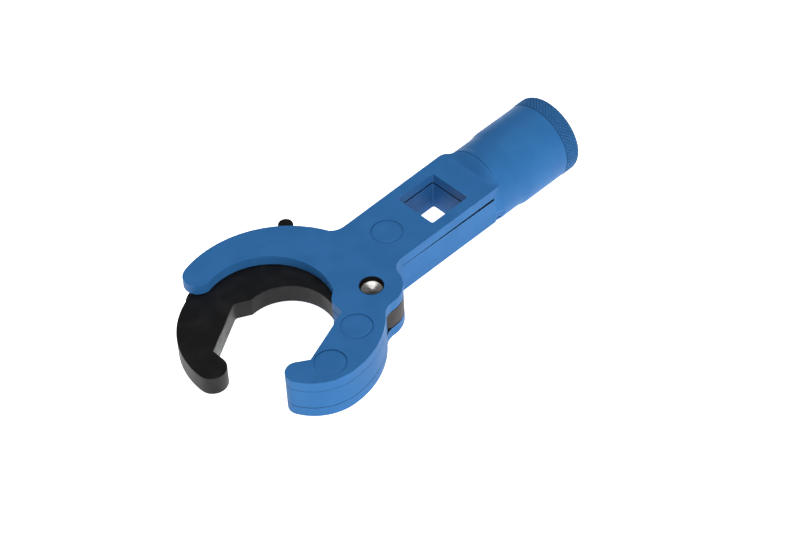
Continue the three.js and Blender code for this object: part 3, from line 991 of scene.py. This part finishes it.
def facet_wear(tree, where, name):
    """Streaks of bare metal on the facet that the named mount is on, stronger at its toe."""
    mount = next(m for m in frame["record"]["mounts"] if m["name"] == name)
    outward = Vector(mount["axis"])
    along = outward.cross(Vector(ALONG_Z))
    local = shifted(tree, where, mount["pos_m"])
    depth = remap(tree, dotted(tree, local, outward), FACET_SKIN, (0, 1), smooth=True)
    reach = dotted(tree, local, along)
    length = (FACET_REACH, FACET_SOLID_SHARE * FACET_REACH)
    within = remap(tree, absolute(tree, reach), length, (0, 1), smooth=True)
    toe = FACET_REACH if along.x < 0 else -FACET_REACH
    graded = remap(tree, reach, (-toe, toe), (FACET_HEEL_WEAR, 1))
    streaked = tree.nodes.new("ShaderNodeCombineXYZ")
    feed(tree, streaked.inputs["X"], multiplied(tree, reach, STREAK_STRETCH))
    feed(tree, streaked.inputs["Y"], dotted(tree, local, ALONG_Z))
    streaks = patches(tree, streaked.outputs[0], STREAK_SIZE, CLEAR_PATCHES, STREAK_AMOUNT)
    return multiplied(tree, multiplied(tree, depth, within), multiplied(tree, graded, streaks))


def hub_wear(tree, where):
    """Mottled wear on the hub's round side."""
    off_hub = absolute(tree, added(tree, from_pin_axis(tree, where), -HUB_RADIUS))
    hub = remap(tree, off_hub, HUB_WEAR_FADE, (0, 1), smooth=True)
    mottled = patches(tree, where, HUB_WEAR_SIZE, CLEAR_PATCHES, HUB_WEAR_AMOUNT)
    return multiplied(tree, hub, mottled)


def black_coat():
    """Matt black coating, rubbed to grey on edges, on the working facet and round the hub."""
    material, tree, shader = new_material("black_coat")
    where = object_coordinates(tree)
    dust = patches(tree, where, JAW_DUST_SIZE, JAW_DUST_RANGE, detail=DUST_DETAIL, smooth=True)
    colour = mixed(tree, dust, JAW_BLACK, JAW_DUSTY)
    patchy = patches(tree, where, JAW_RUBBED_SIZE, PALE_EDGE_PATCHES, JAW_RUBBED_AMOUNT)
    rubbed = multiplied(tree, edge_mask(tree, JAW_RUBBED_WIDTH), patchy)
    colour = mixed(tree, rubbed, colour, JAW_RUBBED)
    colour = mixed(tree, hub_wear(tree, where), colour, HUB_WORN)
    colour = mixed(tree, facet_wear(tree, where, "jaw_facet"), colour, JAW_WORKED)
    feed(tree, shader.inputs["Base Color"], colour)
    rough = patches(tree, where, JAW_ROUGHNESS_SIZE, SOFT_PATCHES, JAW_ROUGHNESS)
    feed(tree, shader.inputs["Roughness"], rough)
    feed(tree, shader.inputs["Specular IOR Level"], JAW_SPECULAR)
    bumped(tree, shader, noise(tree, where, JAW_GRAIN_SIZE, FINE_DETAIL), JAW_GRAIN_HEIGHT)
    return material


def pin_rings(tree, where):
    """Fine turning rings round the pin's axis."""
    mapping = tree.nodes.new("ShaderNodeMapping")
    feed(tree, mapping.inputs["Location"], (-PIN_PLACE.x, -PIN_PLACE.y, 0))
    feed(tree, mapping.inputs["Vector"], where)
    rings = tree.nodes.new("ShaderNodeTexWave")
    rings.wave_type = "RINGS"
    rings.rings_direction = "Z"
    feed(tree, rings.inputs["Scale"], 1 / STEEL_RING_PITCH)
    feed(tree, rings.inputs["Distortion"], STEEL_RING_WOBBLE)
    feed(tree, rings.inputs["Vector"], mapping.outputs["Vector"])
    return rings.outputs["Fac"]


def turned_steel():
    """Bare turned steel, stained in patches, with highlights stretched round each piece."""
    material, tree, shader = new_material("turned_steel")
    where = object_coordinates(tree)
    stain = patches(tree, where, STEEL_STAIN_SIZE, STEEL_STAIN_RANGE, detail=FINE_DETAIL)
    colour = mixed(tree, stain, STEEL_BRIGHT, STEEL_STAINED)
    feed(tree, shader.inputs["Base Color"], colour)
    feed(tree, shader.inputs["Metallic"], 1)
    feed(tree, shader.inputs["Anisotropic"], STEEL_STRETCH)
    tangent = tree.nodes.new("ShaderNodeTangent")
    tangent.direction_type = "RADIAL"
    tangent.axis = "Z"
    feed(tree, shader.inputs["Tangent"], tangent.outputs["Tangent"])
    rough = patches(tree, where, STEEL_ROUGHNESS_SIZE, SOFT_PATCHES, STEEL_ROUGHNESS)
    feed(tree, shader.inputs["Roughness"], rough)
    bumped(tree, shader, pin_rings(tree, where), STEEL_RING_HEIGHT, STEEL_RING_STRENGTH)
    return material


def paint(piece, material):
    piece.data.materials.clear()
    piece.data.materials.append(material)


# ---------- stage ----------


def direction_to(azimuth, elevation):
    """The way towards a lamp or camera; azimuth 0 is on the -Y side."""
    a, e = math.radians(azimuth), math.radians(elevation)
    return Vector((math.sin(a) * math.cos(e), -math.cos(a) * math.cos(e), math.sin(e)))


def floor_normal():
    slope_x = math.tan(math.radians(FLOOR_SLOPE_X))
    slope_y = math.tan(math.radians(FLOOR_SLOPE_Y))
    return Vector((slope_x, -slope_y, 1)).normalized()


def floor_material():
    material, _, shader = new_material("pale_floor")
    shader.inputs["Base Color"].default_value = FLOOR_COLOUR
    shader.inputs["Roughness"].default_value = FLOOR_ROUGHNESS
    shader.inputs["Specular IOR Level"].default_value = 0
    shader.inputs["Emission Color"].default_value = WHITE
    shader.inputs["Emission Strength"].default_value = FLOOR_GLOW
    return material


def sloped_floor():
    """A pale floor that touches the tool's underside where the tool rests on it."""
    normal = floor_normal()
    pieces = [piece for piece in bpy.data.objects if piece.type == "MESH"]
    lowest = min(normal.dot(vertex.co) for piece in pieces for vertex in piece.data.vertices)
    mesh = bpy.data.meshes.new("floor")
    half = FLOOR_SIZE / 2
    corners = [(-half, -half, 0), (half, -half, 0), (half, half, 0), (-half, half, 0)]
    mesh.from_pydata(corners, [], [(0, 1, 2, 3)])
    mesh.materials.append(floor_material())
    floor = add_linked("floor", mesh)
    floor.rotation_mode = "QUATERNION"
    floor.rotation_quaternion = normal.to_track_quat("Z", "Y")
    floor.location = normal * lowest


def soft_light(name, azimuth, elevation, distance, size, power, mirrored_by_tool):
    """A large square lamp that faces the tool from the given direction."""
    data = bpy.data.lights.new(name, "AREA")
    data.shape = "SQUARE"
    data.size = size
    data.energy = power
    lamp = add_linked(name, data)
    back = direction_to(azimuth, elevation)
    lamp.location = back * distance
    lamp.rotation_mode = "QUATERNION"
    lamp.rotation_quaternion = back.to_track_quat("Z", "Y")
    lamp.visible_glossy = mirrored_by_tool


def studio():
    world = bpy.data.worlds.new("studio")
    bpy.context.scene.world = world
    world.use_nodes = True
    background = world.node_tree.nodes["Background"]
    background.inputs["Color"].default_value = WHITE
    background.inputs["Strength"].default_value = WORLD_LIGHT
    for lamp in LAMPS:
        soft_light(*lamp)
    bpy.context.scene.view_settings.view_transform = "Standard"


def photo_camera():
    back = direction_to(CAMERA_AZIMUTH, CAMERA_ELEVATION)
    azimuth, roll = math.radians(CAMERA_AZIMUTH), math.radians(CAMERA_ROLL)
    level = Vector((math.cos(azimuth), math.sin(azimuth), 0))
    right = level * math.cos(roll) + back.cross(level) * math.sin(roll)
    up = back.cross(right)
    turn = Matrix((right, up, back)).transposed()
    data = bpy.data.cameras.new("camera")
    data.lens = CAMERA_LENS
    data.sensor_width = SENSOR_WIDTH
    data.clip_start = CAMERA_CLIP_START
    camera = add_linked("camera", data)
    place = Matrix.Translation(CAMERA_TARGET + back * CAMERA_DISTANCE)
    camera.matrix_world = place @ turn.to_4x4()
    bpy.context.scene.camera = camera


# ---------- the tool ----------


def build_tool():
    blue = blue_enamel()
    black = black_coat()
    steel = turned_steel()
    seams = (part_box("top_plate")[0].z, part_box("bottom_plate")[1].z)
    for node in ("top_plate", "bottom_plate", "hook_spacer"):
        paint(rounded_copy(node, seams), blue)
    paint(rounded_copy("handle_spacer", seams, loosen_handle_spacer), blue)
    for index, node in enumerate(RIVETS):
        paint(painted_rivet(node, RIVET_FIRST_THIN + index * RIVET_THIN_TURN), blue)
    paint(rounded_copy("swing_jaw"), black)
    for node in ("lower_shim", "upper_shim"):
        paint(frame["nodes"][node], steel)
    paint(fillet_bead("upper_weld", "top_plate", 1), blue)
    paint(fillet_bead("lower_weld", "bottom_plate", -1), blue)
    paint(root_bead(), blue)
    paint(turned_socket(), blue)
    paint(turned_pin(), steel)


build_tool()
sloped_floor()
studio()
photo_camera()
